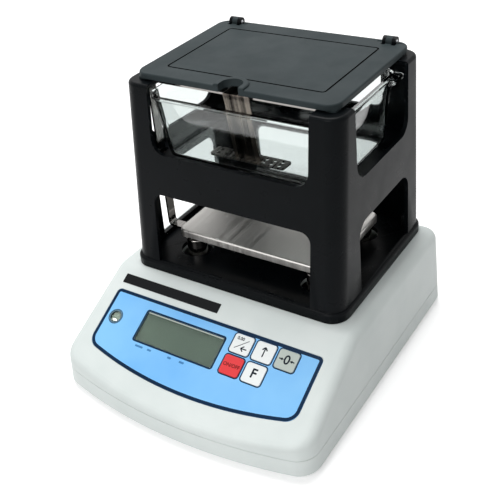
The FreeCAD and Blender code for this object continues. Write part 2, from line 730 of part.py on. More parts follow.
def make_water_tank():
    outer = tank_block(0.0, SHELF_Z[1], TANK_RIM_Z)
    outer = rounded_edges(outer, 4.0, level_edges(SHELF_Z[1]))
    half, front, back, r = TANK_RIM
    lip = slab(-half - 1.5, half + 1.5, front - 1.5, back + 1.5, TANK_RIM_Z - 1.8, TANK_RIM_Z, r + 1.5)
    tank = outer.fuse(lip)
    for side in (-1, 1):
        x0, x1 = sorted((side * 70.0, side * 81.0))
        ear = slab(x0, x1, LID_Y + 23, LID_Y + 45, TANK_RIM_Z - 1.8, TANK_RIM_Z, 5.0)
        tank = tank.fuse(ear)
    tank = tank.removeSplitter()
    floor_z = SHELF_Z[1] + TANK_WALL
    hollow = tank_block(TANK_WALL, floor_z, TANK_RIM_Z + 3.0)
    hollow = rounded_edges(hollow, 2.5, level_edges(floor_z))
    tank = tank.cut(hollow)
    for side in (-1, 1):
        tank = tank.cut(slab(side * 78 - 1.2, side * 78 + 1.2, LID_Y + 28, LID_Y + 40, 190, 210, 1.1))
    return tank


# Weighing stand --------------------------------------------------------------------------------

def fixed_screw_rows():
    return (CELL_Y[1] - 23.0, CELL_Y[1] - 9.0)


def free_screw_rows():
    return (CELL_Y[0] + 8.0, CELL_Y[0] + 22.0)


def make_load_cell():
    y0, y1 = CELL_Y
    z0, z1 = CELL_Z
    middle_y = (y0 + y1) / 2
    middle_z = (z0 + z1) / 2
    beam = box(-CELL_HALF_W, CELL_HALF_W, y0, y1, z0, z1)
    cuts = []
    for y in (middle_y - 15.0, middle_y + 15.0):
        cuts.append(Part.makeCylinder(8.5, 60, V(-30, y, middle_z), X))
    cuts.append(box(-30, 30, middle_y - 15, middle_y + 15, middle_z - 3, middle_z + 3))
    for y in free_screw_rows():
        cuts.append(rod(2.0, 0, y, z1 - 12, z1 + 1))
    for y in fixed_screw_rows():
        cuts.append(rod(2.0, 0, y, z0 - 1, z0 + 12))
    beam = beam.cut(cuts[0]).cut(cuts[1]).cut(cuts[2])
    return beam.cut(Part.makeCompound(cuts[3:]))


def make_cell_mount():
    block = slab(-20, 20, CELL_Y[1] - 31.0, CELL_Y[1], CASE_BOTTOM + 3.0, CELL_Z[0], 3.0)
    holes = [rod(2.2, 0, y, 0, 40) for y in fixed_screw_rows()]
    return block.cut(Part.makeCompound(holes))


def make_cell_screws():
    screws = [screw(0, y, CASE_BOTTOM + 1.5, 25.0, 3.8, 2.0, 1.4, upward=True) for y in fixed_screw_rows()]
    return Part.makeCompound(screws)


def make_overload_stop():
    y = CELL_Y[0] + 12
    post = slab(-8, 8, y - 8, y + 8, CASE_BOTTOM + 3.0, 12.0, 2.0)
    return fuse([post, rod(4.0, 0, y, 11, CELL_Z[0] - 0.5)])


def make_pan_spider():
    z0, z1 = SPIDER_Z
    plate = slab(-POST_X - 10, POST_X + 10, POST_Y[0] - 10, POST_Y[1] + 10, z0, z1, 10.0)
    cuts = [slab(14, POST_X - 10, POST_Y[0] + 12, POST_Y[1] - 12, 40, 60, 8.0),
            slab(-POST_X + 10, -14, POST_Y[0] + 12, POST_Y[1] - 12, 40, 60, 8.0)]
    hub = slab(-14, 14, CELL_Y[0] + 2, CELL_Y[0] + 30, CELL_Z[1], z0, 2.0)
    tongue = slab(-14, 14, CELL_Y[0] + 2, POST_Y[0] + 10, z0, z1, 2.0)
    spider = fuse([plate.cut(cuts[0]).cut(cuts[1]), hub, tongue])
    return spider.cut(Part.makeCompound([rod(2.0, 0, y, 40, 60) for y in free_screw_rows()]))


def make_spider_screws():
    return Part.makeCompound([screw(0, y, SPIDER_Z[1], 14.0, 3.8, 2.0, 2.2) for y in free_screw_rows()])


def make_pan_posts():
    posts = []
    for x in (-POST_X, POST_X):
        for y in POST_Y:
            top = PAN_TOP - PAN_T - (SHEET if y == POST_Y[0] else 0.0)
            post = fuse([rod(10.0, x, y, SPIDER_Z[1], SPIDER_Z[1] + 2), rod(STAND_POST_R, x, y, SPIDER_Z[1], POST_NECK_Z),
                         rod(5.0, x, y, SPIDER_Z[1], top)])
            posts.append(rounded_edges(post, 0.8, level_edges(POST_NECK_Z)))
    return Part.makeCompound(posts)


def make_weighing_pan():
    drop = 6.0
    y0, y1 = PAN_Y
    pan = slab(-PAN_HALF_W, PAN_HALF_W, y0, y1, PAN_TOP - drop, PAN_TOP, 6.0)
    pan = rounded_edges(pan, 1.4, level_edges(PAN_TOP))
    pan = pan.cut(slab(-PAN_HALF_W + PAN_T, PAN_HALF_W - PAN_T, y0 + PAN_T, y1 - PAN_T,
                       PAN_TOP - drop - 1, PAN_TOP - PAN_T, 4.5))
    notch = box(-100, 100, BAR_Y[0] - 0.5, BAR_Y[1] + 0.5, PAN_TOP - drop - 1, PAN_TOP - PAN_T)
    return pan.cut(notch)


def make_gantry():
    """A bent strip: a foot bar under the pan, two uprights and the top bar that the hanger hooks on."""
    y0, y1 = BAR_Y
    foot_z = PAN_TOP - PAN_T - SHEET
    ring = slab(-BAR_X, BAR_X, foot_z, BAR_Z[1], 0, y1 - y0, 4.0)
    ring = ring.cut(slab(-BAR_X + SHEET, BAR_X - SHEET, foot_z + SHEET, BAR_Z[0], -5, 50, 2.5))
    ring.rotate(V(0, 0, 0), X, 90)
    ring.translate(V(0, y1, 0))
    return ring


def hanger_lean(z):
    """The strip's front face keeps parallel to the tank's front wall."""
    slope = (TANK_FOOT[1] - TANK_RIM[1]) / (TANK_RIM_Z - SHELF_Z[1])
    return BAR_Y[0] - 3.2 + (BAR_Z[1] - z) * slope


def make_hanger():
    """A polished strip that hooks over the gantry bar and carries the perforated underwater pan."""
    t = 1.2
    top = BAR_Z[1] + 0.05
    pan_z = 160.0
    front_top = hanger_lean(top)
    profile = [V(0, BAR_Y[1] + t, 206), V(0, BAR_Y[1] + t, top + t), V(0, front_top, top + t),
               V(0, hanger_lean(pan_z), pan_z), V(0, hanger_lean(pan_z) + 30, pan_z),
               V(0, hanger_lean(pan_z) + 30, pan_z + t), V(0, hanger_lean(pan_z) + t, pan_z + t),
               V(0, front_top + t, top), V(0, BAR_Y[1] + 0.1, top), V(0, BAR_Y[1] + 0.1, 206)]
    profile.append(profile[0])
    strip = Part.Face(Part.makePolygon(profile)).extrude(V(17, 0, 0))
    strip.translate(V(-8.5, 0, 0))
    pan_y = hanger_lean(pan_z) + 36
    plate = slab(-34, 34, pan_y - 34, pan_y + 34, pan_z, pan_z + t, 8.0)
    rows = []
    for column in range(-3, 4):
        for row in range(-3, 4):
            rows.append(rod(2.6, column * 9.0, pan_y + row * 9.0, pan_z - 1, pan_z + 3))
    plate = plate.cut(Part.makeCompound(rows))
    return fuse([strip, plate])


# Feet, fasteners and rear fittings -------------------------------------------------------------

def make_foot_pad(x, y):
    pad = rod(PAD_R, x, y, 0.0, 3.0)
    return rounded_edges(pad, 0.8, level_edges(0.0))


def make_foot_wheel(x, y):
    wheel = rod(WHEEL_R, x, y, 3.0, 8.0)
    grips = []
    count = 24
    for number in range(count):
        angle = 2 * math.pi * number / count
        reach = WHEEL_R + 0.35
        grips.append(rod(0.8, x + reach * math.cos(angle), y + reach * math.sin(angle), 2, 9))
    wheel = wheel.cut(Part.makeCompound(grips))
    return wheel.fuse(rod(STEM_R, x, y, 8.0, 22.0))


def make_case_screws():
    return Part.makeCompound([screw(x, y, CASE_BOTTOM + 4.0, 15.0, 3.0, 1.5, 2.0, upward=True)
                              for x, y in case_screw_places()])


def make_frame_screws():
    return Part.makeCompound([screw(x, y, DECK_Z - WALL, 11.0, 3.0, 1.5, 2.0, upward=True)
                              for x, y in frame_screw_places()])


def make_shelf_screws():
    return Part.makeCompound([screw(x, y, SHELF_Z[1], 10.0, 2.8, 1.5, 1.8) for x, y in shelf_screw_places()])


def make_dc_inlet():
    x, z = INLET
    body = box(x - 7, x + 7, REAR_BOARD_Y, PORT_SEAT_Y, z - 5.5, z + 5.5)
    nose = Part.makeCylinder(4.0, 2.6, V(x, PORT_SEAT_Y - 0.2, z), Y)
    bore = Part.makeCylinder(2.75, 20, V(x, 108.0, z), Y)
    pin = Part.makeCylinder(1.0, 10, V(x, 107.0, z), Y)
    return fuse([body, nose]).cut(bore).fuse(pin)


def make_serial_port():
    x, z = PORT
    shell = box(x - 8.4, x + 8.4, REAR_BOARD_Y, 120.4, z - 4.4, z + 4.4)
    plug = box(x - 7.4, x + 7.4, 114, 122, z - 3.4, z + 3.4)
    flange = box(x - 15.5, x + 15.5, PORT_SEAT_Y - 1.8, PORT_SEAT_Y, z - 6, z + 6)
    port = fuse([shell.cut(plug), flange.cut(plug)])
    pins = []
    for row, count in ((1.4, 5), (-1.4, 4)):
        for number in range(count):
            px = x + (number - (count - 1) / 2) * 2.77
            pins.append(Part.makeCylinder(0.5, 5, V(px, 113.5, z + row), Y))
    return fuse([port] + pins)


def make_rear_board():
    board = slab(-74, 14, 26, 46, 0, 1.6, 1.5)
    board.rotate(V(0, 0, 0), X, 90)
    board.translate(V(0, REAR_BOARD_Y, 0))
    return board


def make_rocker_housing():
    x, z = ROCKER
    body = box(x - 10.2, x + 10.2, 103, 120.2, z - 7.2, z + 7.2)
    body = body.cut(box(x - 8.6, x + 8.6, 107, 125, z - 5.6, z + 5.6))
    body = body.cut(Part.makeCylinder(TRUNNION_R + 0.05, 12.8, V(x, ROCKER_PIVOT_Y, z - 6.4), Z))
    tabs = [box(x + dx - 0.4, x + dx + 0.4, 96, 103.5, z - 3, z + 3) for dx in (-5.0, 0.0, 5.0)]
    return fuse([body] + tabs)


def make_power_rocker():
    """A rocker with a dished face, pressed to its off side, on two trunnions."""
    x, z = ROCKER
    half = 7.6
    low = ROCKER_PIVOT_Y - 3.0
    high = ROCKER_PIVOT_Y + 7.8
    dish = ROCKER_PIVOT_Y + 4.0
    left = V(x - half, low, z)
    right = V(x + half, low, z)
    left_tip = V(x - half, high, z)
    right_tip = V(x + half, high, z)
    outline = Part.Wire([Part.makeLine(left, right), Part.makeLine(right, right_tip),
                         arc(right_tip, V(x, dish, z), left_tip), Part.makeLine(left_tip, left)])
    cap = Part.Face(outline).extrude(V(0, 0, 10.4))
    cap.translate(V(0, 0, -5.2))
    cap = cap.fuse(Part.makeCylinder(TRUNNION_R, 12.4, V(x, ROCKER_PIVOT_Y, z - 6.2), Z))
    cap.rotate(V(x, ROCKER_PIVOT_Y, z), Z, ROCKER_TILT)
    return cap


# Write every sub-part --------------------------------------------------------------------------

save("upper_housing", make_upper_housing())
save("base_tray", make_base_tray())
save("keypad_circuit", make_keypad_circuit())
save("keypad_spacer", make_keypad_spacer())
save("key_domes", make_key_domes())
save("keypad_overlay", make_keypad_overlay())
for key_name, key_x, key_v in key_centres():
    save(key_name, make_key(key_x, key_v))
save("lcd_window", make_lcd_window())
save("lcd_module", make_lcd_module())
save("level_vial", make_level_vial())
save("level_ring", make_level_ring())
save("main_board", make_main_board())
save("windshield_frame", make_windshield_frame())
save("chamber_floor", make_chamber_floor())
save("tank_shelf", make_tank_shelf())
save("lid", make_lid())
save("hinge_brackets", make_hinge_brackets())
save("hinge_pins", make_hinge_pins())
save("water_tank", make_water_tank())
save("load_cell", make_load_cell())
save("cell_mount", make_cell_mount())
save("cell_screws", make_cell_screws())
save("overload_stop", make_overload_stop())
save("pan_spider", make_pan_spider())
save("spider_screws", make_spider_screws())
save("pan_posts", make_pan_posts())
save("weighing_pan", make_weighing_pan())
save("gantry", make_gantry())
save("hanger", make_hanger())
for place, (foot_x, foot_y) in FOOT_PLACES.items():
    save("foot_pad_" + place, make_foot_pad(foot_x, foot_y))
    save("foot_wheel_" + place, make_foot_wheel(foot_x, foot_y))
save("case_screws", make_case_screws())
save("frame_screws", make_frame_screws())
save("shelf_screws", make_shelf_screws())
save("rear_board", make_rear_board())
save("dc_inlet", make_dc_inlet())
save("serial_port", make_serial_port())
save("rocker_housing", make_rocker_housing())
save("power_rocker", make_power_rocker())
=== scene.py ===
import json
import math

import bpy
from mathutils import Matrix, Vector


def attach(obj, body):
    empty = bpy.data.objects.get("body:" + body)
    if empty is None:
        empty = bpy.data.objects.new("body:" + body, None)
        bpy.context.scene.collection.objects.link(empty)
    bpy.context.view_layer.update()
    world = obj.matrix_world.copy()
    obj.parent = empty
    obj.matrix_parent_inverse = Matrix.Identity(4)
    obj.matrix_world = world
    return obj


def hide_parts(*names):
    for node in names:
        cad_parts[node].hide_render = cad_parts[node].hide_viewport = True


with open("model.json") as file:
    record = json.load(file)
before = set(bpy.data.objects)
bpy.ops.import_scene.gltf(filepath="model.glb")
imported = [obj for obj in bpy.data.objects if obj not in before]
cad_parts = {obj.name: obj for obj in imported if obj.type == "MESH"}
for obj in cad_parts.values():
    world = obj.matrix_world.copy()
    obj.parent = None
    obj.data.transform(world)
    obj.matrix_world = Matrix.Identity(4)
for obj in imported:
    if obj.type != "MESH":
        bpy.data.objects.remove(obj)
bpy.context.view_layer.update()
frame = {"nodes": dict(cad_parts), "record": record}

# Benchtop density meter. Lengths are in millimetres, turned to metres by MM. Only the lamps and the floor
# are given in metres. A place on the keypad panel is x across, v up the slope and a level out of its face.
MM = 0.001
# Points closer than NEAR count as being at one place, and points closer than MERGE become one
NEAR = 0.01
MERGE = 0.005

# Smooth shading reaches up to these angles: on CAD copies, on thin plates and on the bubble
CAD_SMOOTH = 35.0
PLATE_SMOOTH = 30.0
BUBBLE_SMOOTH = 60.0

# Steps in a rounded corner: of a sheet, of a quarter of a disc and of a thin printed line, whose
# corner is a share of its width
SHEET_STEPS = 6
DISC_STEPS = 16
LINE_STEPS = 2
LINE_ROUND = 0.2

# Keypad panel: a slope that starts at the knee under the deck
KNEE = Vector((0.0, -31.7, 68.6))
PANEL_TILT = math.radians(27.7)
PANEL = Matrix.Translation(KNEE * MM) @ Matrix.Rotation(PANEL_TILT, 4, "X")

# Keypad overlay: straight top and sides, foot bowed to a large circle. The circle's points are cleared
# for PAD_CLEAR beyond a rounded foot corner. Then the width of the border, and the thickness of what is
# printed on the overlay and on the keys.
PAD_HALF_W = 90.0
PAD_TOP = -21.5
PAD_FOOT = -81.5
PAD_ARC_R = 335.0
PAD_ARC_STEPS = 720
PAD_FOOT_R = 10.0
PAD_TOP_R = 3.5
PAD_CORNER_STEPS = 8
PAD_CLEAR = 1.0
BORDER_W = 2.4
PRINT_T = 0.06
INK_T = 0.04

# Keys and the printed line round each of them
KEY_W = 15.5
KEY_H = 14.4
KEY_PROUD = 0.5
KEY_FIRST = (29.1, -31.85)
KEY_PITCH = (18.34, -16.86)
KEY_LINE = 1.02
KEY_LINE_GAP = 0.27
KEY_LINE_R = 2.9

# Signs on the keys, measured from a key's centre: the widths of their strokes, the place of the small
# numbers, the barbs of an open arrow, the length of the up arrow, the half reach of the slash, the tip
# and length of the back arrow, and of a side arrow its shaft's outer and inner end and its head's place
# and radius
BOLD_STROKE = 0.95
STROKE = 0.85
FINE_STROKE = 0.5
NUMBERS_PLACE = (-2.4, 3.9)
BARB_LENGTH = 3.0
BARB_ANGLE = math.radians(42.0)
UP_ARROW = 7.4
SLASH = (4.6, 3.95)
BACK_ARROW = (0.5, -2.9, 4.8)
SIDE_SHAFT = (6.0, 3.9)
SIDE_HEAD = 3.6
SIDE_HEAD_R = 1.3

# Display window, the line round it, a pale bar along its inner top edge that is a painted highlight,
# and the marks under it by centre and width
LCD_X = (-55.0, 14.7)
LCD_V = (-55.5, -31.3)
LCD_LINE = 1.25
LCD_LINE_R = 2.2
LCD_HIGHLIGHT_IN = 1.0
LCD_HIGHLIGHT_W = 0.8
LCD_HIGHLIGHT_LEVEL = -0.1
DISPLAY_MARKS = [(-47.5, 7.0), (-38.0, 3.6), (-19.5, 3.2), (-8.5, 4.2)]
MARKS_V = -59.3
MARK_H = 1.5

# Bare black strip above the overlay: left, right, foot and top, corner and thickness
NAME_STRIP = (-90.0, -1.0, -16.0, -8.3)
NAME_STRIP_R = 0.4
NAME_STRIP_T = 0.3

# Bubble level: its centre, its bubble, the dial under the spirit and the line round its ring
VIAL = (-79.6, -43.9)
BUBBLE_R = 1.6
BUBBLE_STRETCH = (1.35, 0.6, 0.25)
BUBBLE_EDGE = 0.05
BUBBLE_PLACE = (0.4, -2.6, -0.5)
DIAL_R = 4.0
DIAL_LEVELS = (-2.2, -1.6)
VIAL_LINE_R = 6.1
VIAL_LINE_W = 0.65

# Lid groove: half width, front, back and height of its rim, and how far under the rim its faces lie.
# Faces of the lid that turn by less than LID_FLAT degrees become one.
LID_GROOVE = (63.6, 10.5, 94.3, 221.0)
GROOVE_DEPTHS = (0.1, 0.9)
LID_FLAT = 0.3

# Hanger strip: half width, front, back and top of its hook, then its drop behind the gantry bar,
# the lean of its run, its turn under the pan, its thickness, and the rounding of its edges from an
# angle on. Points within AT_EDGE of the hook's front or back edge belong to that edge.
HOOK = (10.5, 2.3, 14.7, 212.75)
HOOK_DROP = 6.7
STRIP_LEAN = 9.0
STRIP_TURN = 5.0
STRIP_T = 1.2
STRIP_EDGE = 0.3
STRIP_SHARP = math.radians(40.0)
AT_EDGE = 0.1

# Perforated pan: half width, front, back and underside, corner, thickness, and its two rows of holes
SMALL_PAN = (31.0, 8.0, 21.0, 160.0)
SMALL_PAN_R = 2.5
SMALL_PAN_T = 1.2
HOLE_R = 1.7
HOLE_SIDES = 20
DRILL_LENGTH = 6.0
HOLE_PITCH = 6.4
HOLE_ROWS = (0.3, 0.7)
HOLE_COLUMNS = range(-4, 5)

# CAD nodes that are shown by a smooth-shaded copy, and the nodes that have a piece of their own
SMOOTH_NODES = ["windshield_frame", "chamber_floor", "tank_shelf", "hinge_brackets", "water_tank",
                "pan_posts", "weighing_pan", "gantry", "level_vial", "level_ring", "lcd_window"]
OWN_PIECE_NODES = ["lid", "hanger"]


# Camera ----------------------------------------------------------------------------------------

CAMERA_PLACE = Vector((295.8, -415.4, 432.2))
CAMERA_AZIMUTH = math.radians(35.69)
CAMERA_ELEVATION = math.radians(33.55)
CAMERA_ROLL = math.radians(-5.78)
CAMERA_LENS = 60.37
CAMERA_SENSOR = 36.0
CAMERA_CLIP = 10.0


def place_camera():
    """The camera, placed and turned as the numbers above say."""
    az, el, roll = CAMERA_AZIMUTH, CAMERA_ELEVATION, CAMERA_ROLL
    back = Vector((math.sin(az) * math.cos(el), -math.cos(az) * math.cos(el), math.sin(el)))
    level_right = (-back).cross(Vector((0, 0, 1))).normalized()
    level_up = level_right.cross(-back)
    right = math.cos(roll) * level_right + math.sin(roll) * level_up
    up = math.cos(roll) * level_up - math.sin(roll) * level_right
    data = bpy.data.cameras.new("camera")
    data.lens = CAMERA_LENS
    data.sensor_width = CAMERA_SENSOR
    data.clip_start = CAMERA_CLIP * MM
    camera = bpy.data.objects.new("camera", data)
    bpy.context.collection.objects.link(camera)
    turn = Matrix((right, up, back)).transposed().to_4x4()
    camera.matrix_world = Matrix.Translation(CAMERA_PLACE * MM) @ turn
    bpy.context.scene.camera = camera


# Materials -------------------------------------------------------------------------------------

# The part of a noise pattern's range that is spread over a finish's two colours or two gloss values
PATTERN_LOW, PATTERN_HIGH = 0.35, 0.65
# How strongly a noise pattern's finer waves show in it
NOISE_ROUGHNESS = 0.55
# Plastic: index of refraction, how wide its gloss patches are beside its colour clouds, and how far
# they take its roughness down and up
PLASTIC_IOR = 1.5
PATCH_SHARE = 0.4
PATCH_DOWN, PATCH_UP = 0.04, 0.05
# Metal: the shares of its roughness that its drawn lines go between
LINES_SMOOTHEST, LINES_ROUGHEST = 0.7, 1.3
# Bump strengths of moulded grain and drawn lines
GRAIN_STRENGTH = 0.5
LINE_STRENGTH = 0.35
# Height of the ripple in clear plastic, the width of its waves, and the light that its shadow lets pass
RIPPLE_HEIGHT = 0.2
RIPPLE_WIDTH = 30.0
SHADOW_PASS = 0.75


def colour(hex_code):
    """Turns an sRGB hex value to a linear RGBA colour."""
    levels = [int(hex_code[i:i + 2], 16) / 255 for i in (1, 3, 5)]
    linear = [v / 12.92 if v <= 0.04045 else ((v + 0.055) / 1.055) ** 2.4 for v in levels]
    return (*linear, 1.0)


def add_node(tree, kind, links=(), sockets=(), **settings):
    """Adds one node, sets its properties and input sockets, and links sources to its inputs."""
    node = tree.nodes.new(kind)
    for name, value in settings.items():
        setattr(node, name, value)
    for socket, value in dict(sockets).items():
        node.inputs[socket].default_value = value
    for socket, source in dict(links).items():
        tree.links.new(source, node.inputs[socket])
    return node


def new_material(name):
    """An empty material and its node tree."""
    material = bpy.data.materials.new(name)
    material.use_nodes = True
    tree = material.node_tree
    tree.nodes.clear()
    return material, tree


def noise(tree, size_mm, detail=3.0):
    """A noise pattern whose features are about size_mm across."""
    place = add_node(tree, "ShaderNodeTexCoord").outputs["Object"]
    return add_node(tree, "ShaderNodeTexNoise", {"Vector": place},
                    {"Scale": 1.0 / (size_mm * MM), "Detail": detail, "Roughness": NOISE_ROUGHNESS})


def between(tree, factor, low, high):
    """Maps a pattern to a number between low and high."""
    return add_node(tree, "ShaderNodeMapRange", {0: factor},
                    {1: PATTERN_LOW, 2: PATTERN_HIGH, 3: low, 4: high}).outputs[0]


def tint(tree, factor, low_hex, high_hex):
    """Maps a pattern to a colour between two hex values."""
    ramp = add_node(tree, "ShaderNodeValToRGB", {"Fac": factor})
    low, high = ramp.color_ramp.elements
    low.position = PATTERN_LOW
    high.position = PATTERN_HIGH
    low.color = colour(low_hex)
    high.color = colour(high_hex)
    return ramp.outputs["Color"]


def finish_with(tree, shader):
    """Links a shader to the material's surface."""
    add_node(tree, "ShaderNodeOutputMaterial", {"Surface": shader.outputs[0]})


def moulded(name, low_hex, high_hex, roughness, grain_mm, depth_mm, cloud_mm=45.0, specular=0.5):
    """A moulded plastic: the tool's spark texture as fine bump, slow colour clouds, uneven gloss."""
    material, tree = new_material(name)
    clouds = noise(tree, cloud_mm)
    grain = noise(tree, grain_mm, detail=2.0)
    patches = noise(tree, cloud_mm * PATCH_SHARE)
    gloss = between(tree, patches.outputs["Fac"], roughness - PATCH_DOWN, roughness + PATCH_UP)
    bump = add_node(tree, "ShaderNodeBump", {"Height": grain.outputs["Fac"]},
                    {"Strength": GRAIN_STRENGTH, "Distance": depth_mm * MM})
    shader = add_node(tree, "ShaderNodeBsdfPrincipled",
                      {"Base Color": tint(tree, clouds.outputs["Fac"], low_hex, high_hex),
                       "Roughness": gloss, "Normal": bump.outputs["Normal"]},
                      {"IOR": PLASTIC_IOR, "Specular IOR Level": specular})
    finish_with(tree, shader)
    return material


def film(name, low_hex, high_hex, roughness=0.32, specular=0.3):
    """Printed polyester film: flat ink under a slightly glossy, very finely pebbled face."""
    return moulded(name, low_hex, high_hex, roughness, grain_mm=0.5, depth_mm=0.01, cloud_mm=60.0,
                   specular=specular)


def metal(name, low_hex, high_hex, roughness, line_mm=(0.35, 40.0, 40.0), depth_mm=0.004):
    """A metal with fine drawn lines; line_mm is the size of the pattern along x, y and z."""
    material, tree = new_material(name)
    place = add_node(tree, "ShaderNodeTexCoord").outputs["Object"]
    stretch = add_node(tree, "ShaderNodeMapping", {"Vector": place},
                       {"Scale": tuple(1.0 / (size * MM) for size in line_mm)})
    lines = add_node(tree, "ShaderNodeTexNoise", {"Vector": stretch.outputs[0]},
                     {"Scale": 1.0, "Detail": 2.0})
    bump = add_node(tree, "ShaderNodeBump", {"Height": lines.outputs["Fac"]},
                    {"Strength": LINE_STRENGTH, "Distance": depth_mm * MM})
    shader = add_node(tree, "ShaderNodeBsdfPrincipled",
                      {"Base Color": tint(tree, lines.outputs["Fac"], low_hex, high_hex),
                       "Roughness": between(tree, lines.outputs["Fac"], roughness * LINES_SMOOTHEST,
                                            roughness * LINES_ROUGHEST),
                       "Normal": bump.outputs["Normal"]}, {"Metallic": 1.0})
    finish_with(tree, shader)
    return material


def clear(name, hex_code, roughness, ior, specular, ripple=0.15):
    """A clear plastic or glass that shows what stands behind it and throws only a light shadow."""
    material, tree = new_material(name)
    flow = noise(tree, RIPPLE_WIDTH)
    bump = add_node(tree, "ShaderNodeBump", {"Height": flow.outputs["Fac"]},
                    {"Strength": ripple, "Distance": RIPPLE_HEIGHT * MM})
    body = add_node(tree, "ShaderNodeBsdfPrincipled",
                    {"Normal": bump.outputs["Normal"],
                     "Roughness": between(tree, flow.outputs["Fac"], roughness, roughness * 2)},
                    {"Base Color": colour(hex_code), "Transmission Weight": 1.0, "IOR": ior,
                     "Specular IOR Level": specular})
    passing = add_node(tree, "ShaderNodeBsdfTransparent", (),
                       {"Color": (SHADOW_PASS, SHADOW_PASS, SHADOW_PASS, 1.0)})
    path = add_node(tree, "ShaderNodeLightPath")
    mixed = add_node(tree, "ShaderNodeMixShader",
                     {0: path.outputs["Is Shadow Ray"], 1: body.outputs[0], 2: passing.outputs[0]})
    finish_with(tree, mixed)
    return material


# The real spark texture of the mouldings, the pebble of the films and the drawn lines of the metals are
# 0.1 to 0.2 mm across, too fine to show in the render. They are drawn at 0.35 to 1.5 mm, as coarse as
# each needs to show as a soft grain.
# A moulding's numbers are its roughness, and the size and depth of its grain in millimetres. A metal's are
# its roughness, the size of its lines along x, y and z, and their depth. A clear one's are its roughness
# and its index of refraction.

# Moulded ABS case: off-white with a cool cast, fine spark texture, soft satin
ABS_CASE = moulded("abs_off_white_satin", "#D9E1DF", "#E1E8E6", 0.42, 0.8, 0.02, specular=0.3)
# Moulded ABS frame: near black satin with faint, broad highlights
ABS_FRAME = moulded("abs_black_satin", "#05080A", "#0A0D10", 0.3, 0.7, 0.012, specular=0.07)
# Moulded ABS lid: the same black plastic with a coarser texture, nearly matt; its dark grey colour is
# painted sheen, for the bright backdrop that its top mirrors
ABS_LID_PAINTED_SHEEN = moulded("abs_black_textured_painted_sheen", "#2A3234", "#31393B", 0.5, 0.6, 0.03, specular=0.1)
# The lid's moulded groove: the same plastic, painted black as painted shade for the shade that lies in the
# groove
ABS_GROOVE_PAINTED_SHADE = moulded("abs_groove_painted_shade", "#060707", "#0A0B0B", 0.6, 0.6, 0.02, specular=0.06)
# Moulded ABS ring of the bubble level: blue-grey and smooth
RING_GREY = moulded("abs_level_ring_grey", "#5C7684", "#688290", 0.35, 0.5, 0.005, specular=0.2)

# Screen-printed polyester film of the keypad and its keys: flat colours, slight gloss
FILM_BLUE = film("polyester_film_sky_blue", "#79BDF8", "#89C9FB")
FILM_WHITE = film("polyester_film_white", "#EEF3F2", "#F2F6F5")
FILM_GREY = film("polyester_film_cool_grey", "#B7C1BA", "#BEC8C1")
FILM_RED = film("polyester_film_red", "#DE3538", "#E74044")
# Black film of the bare strip: duller than the keypad
FILM_BLACK = film("polyester_film_black", "#0C0E10", "#121416", roughness=0.4, specular=0.1)
# Film layers under the keypad: buff from their adhesive
FILM_CIRCUIT = film("polyester_film_circuit", "#B7B093", "#BDB69A", roughness=0.4)
# Printed inks: dark ones take little gloss, so that they stay crisp
INK_NAVY = film("polyester_ink_navy", "#08243F", "#0C2A48", specular=0.1)
INK_PALE = film("polyester_ink_mid_blue", "#3C7CB4", "#4585BC")
INK_RED = film("polyester_ink_dark_red", "#6A1512", "#741916", specular=0.15)
INK_DARK = film("polyester_ink_dark", "#0D1722", "#121E2A", specular=0.1)
INK_TEAL = film("polyester_ink_dark_teal", "#1B425A", "#224A62")

# Injection-moulded styrene tank: clear, with a trace of grey
STYRENE = clear("styrene_clear", "#E4E9E8", 0.02, 1.5, specular=0.15)
# Hard-coated acrylic over the display: bonded flat, so it has no ripple and hardly mirrors
ACRYLIC = clear("acrylic_clear_hard_coated", "#E9F1EC", 0.02, 1.3, specular=0.05, ripple=0.0)
# Glass vial filled with spirit: slightly yellow
VIAL_SPIRIT = clear("vial_glass_with_spirit", "#F0F2E6", 0.03, 1.2, specular=0.15)
# Painted dial under the spirit: dull grey
DIAL = moulded("painted_dial_warm_grey", "#6F7A75", "#7A857F", 0.5, 0.5, 0.005, specular=0.1)
# Reflective display glass, unlit: even grey-green without grain
LCD_GLASS = moulded("lcd_glass_grey_green", "#4A544D", "#515B53", 0.35, 0.4, 0.0, specular=0.05)

# Polished stainless steel of the gantry and the posts: bright, with traces of polishing
STEEL_POLISHED = metal("stainless_steel_polished", "#8B8886", "#A3A09C", 0.15)
# Stainless steel rolled to a strip: its rolling lines are too fine to show. Broad bands of 4.2 mm along
# its length, dark and bright in turn, are painted reflections of its surroundings in the bent strip.
STEEL_STRIP_PAINTED_REFLECTIONS = metal("stainless_steel_strip_painted_reflections", "#2A2624", "#8F857C", 0.24, (4.2, 300.0, 300.0))
# Brushed stainless steel weighing pan: soft, even sheen
STEEL_PAN = metal("stainless_steel_brushed", "#D6D4D0", "#DEDCD8", 0.42, (0.5, 60.0, 60.0), 0.0006)
# Punched stainless steel of the small pan: plain mill finish
STEEL_PUNCHED = metal("stainless_steel_perforated", "#8A8683", "#A8A4A0", 0.32, (1.2, 40.0, 40.0), 0.001)
# Zinc-plated steel of the screws, pins and other small parts: pale grey
STEEL_PLAIN = metal("steel_zinc_plated", "#A9ACB0", "#BFC2C5", 0.3)
# Milled aluminium of the load cell and the spider: fine cutter lines
ALUMINIUM = metal("aluminium_milled", "#C2C4C7", "#D0D2D4", 0.35)
# Cast aluminium of the cell's mount: grey and matt, with an even grain
ALUMINIUM_CAST = metal("aluminium_cast", "#A5A7AA", "#B5B7BA", 0.55, (1.5, 1.5, 1.5), 0.03)

# Moulded nylon of the wheels and sockets, and rubber of the pads: black, the rubber quite matt
NYLON = moulded("nylon_black", "#0E0F10", "#141517", 0.45, 0.5, 0.01, specular=0.15)
RUBBER = moulded("rubber_black", "#141414", "#1C1C1B", 0.75, 0.4, 0.02, specular=0.2)
# Glass-fibre circuit board under green solder mask: a soft gloss over the weave
BOARD = moulded("fr4_board_green", "#123C22", "#184A2B", 0.35, 1.2, 0.02)

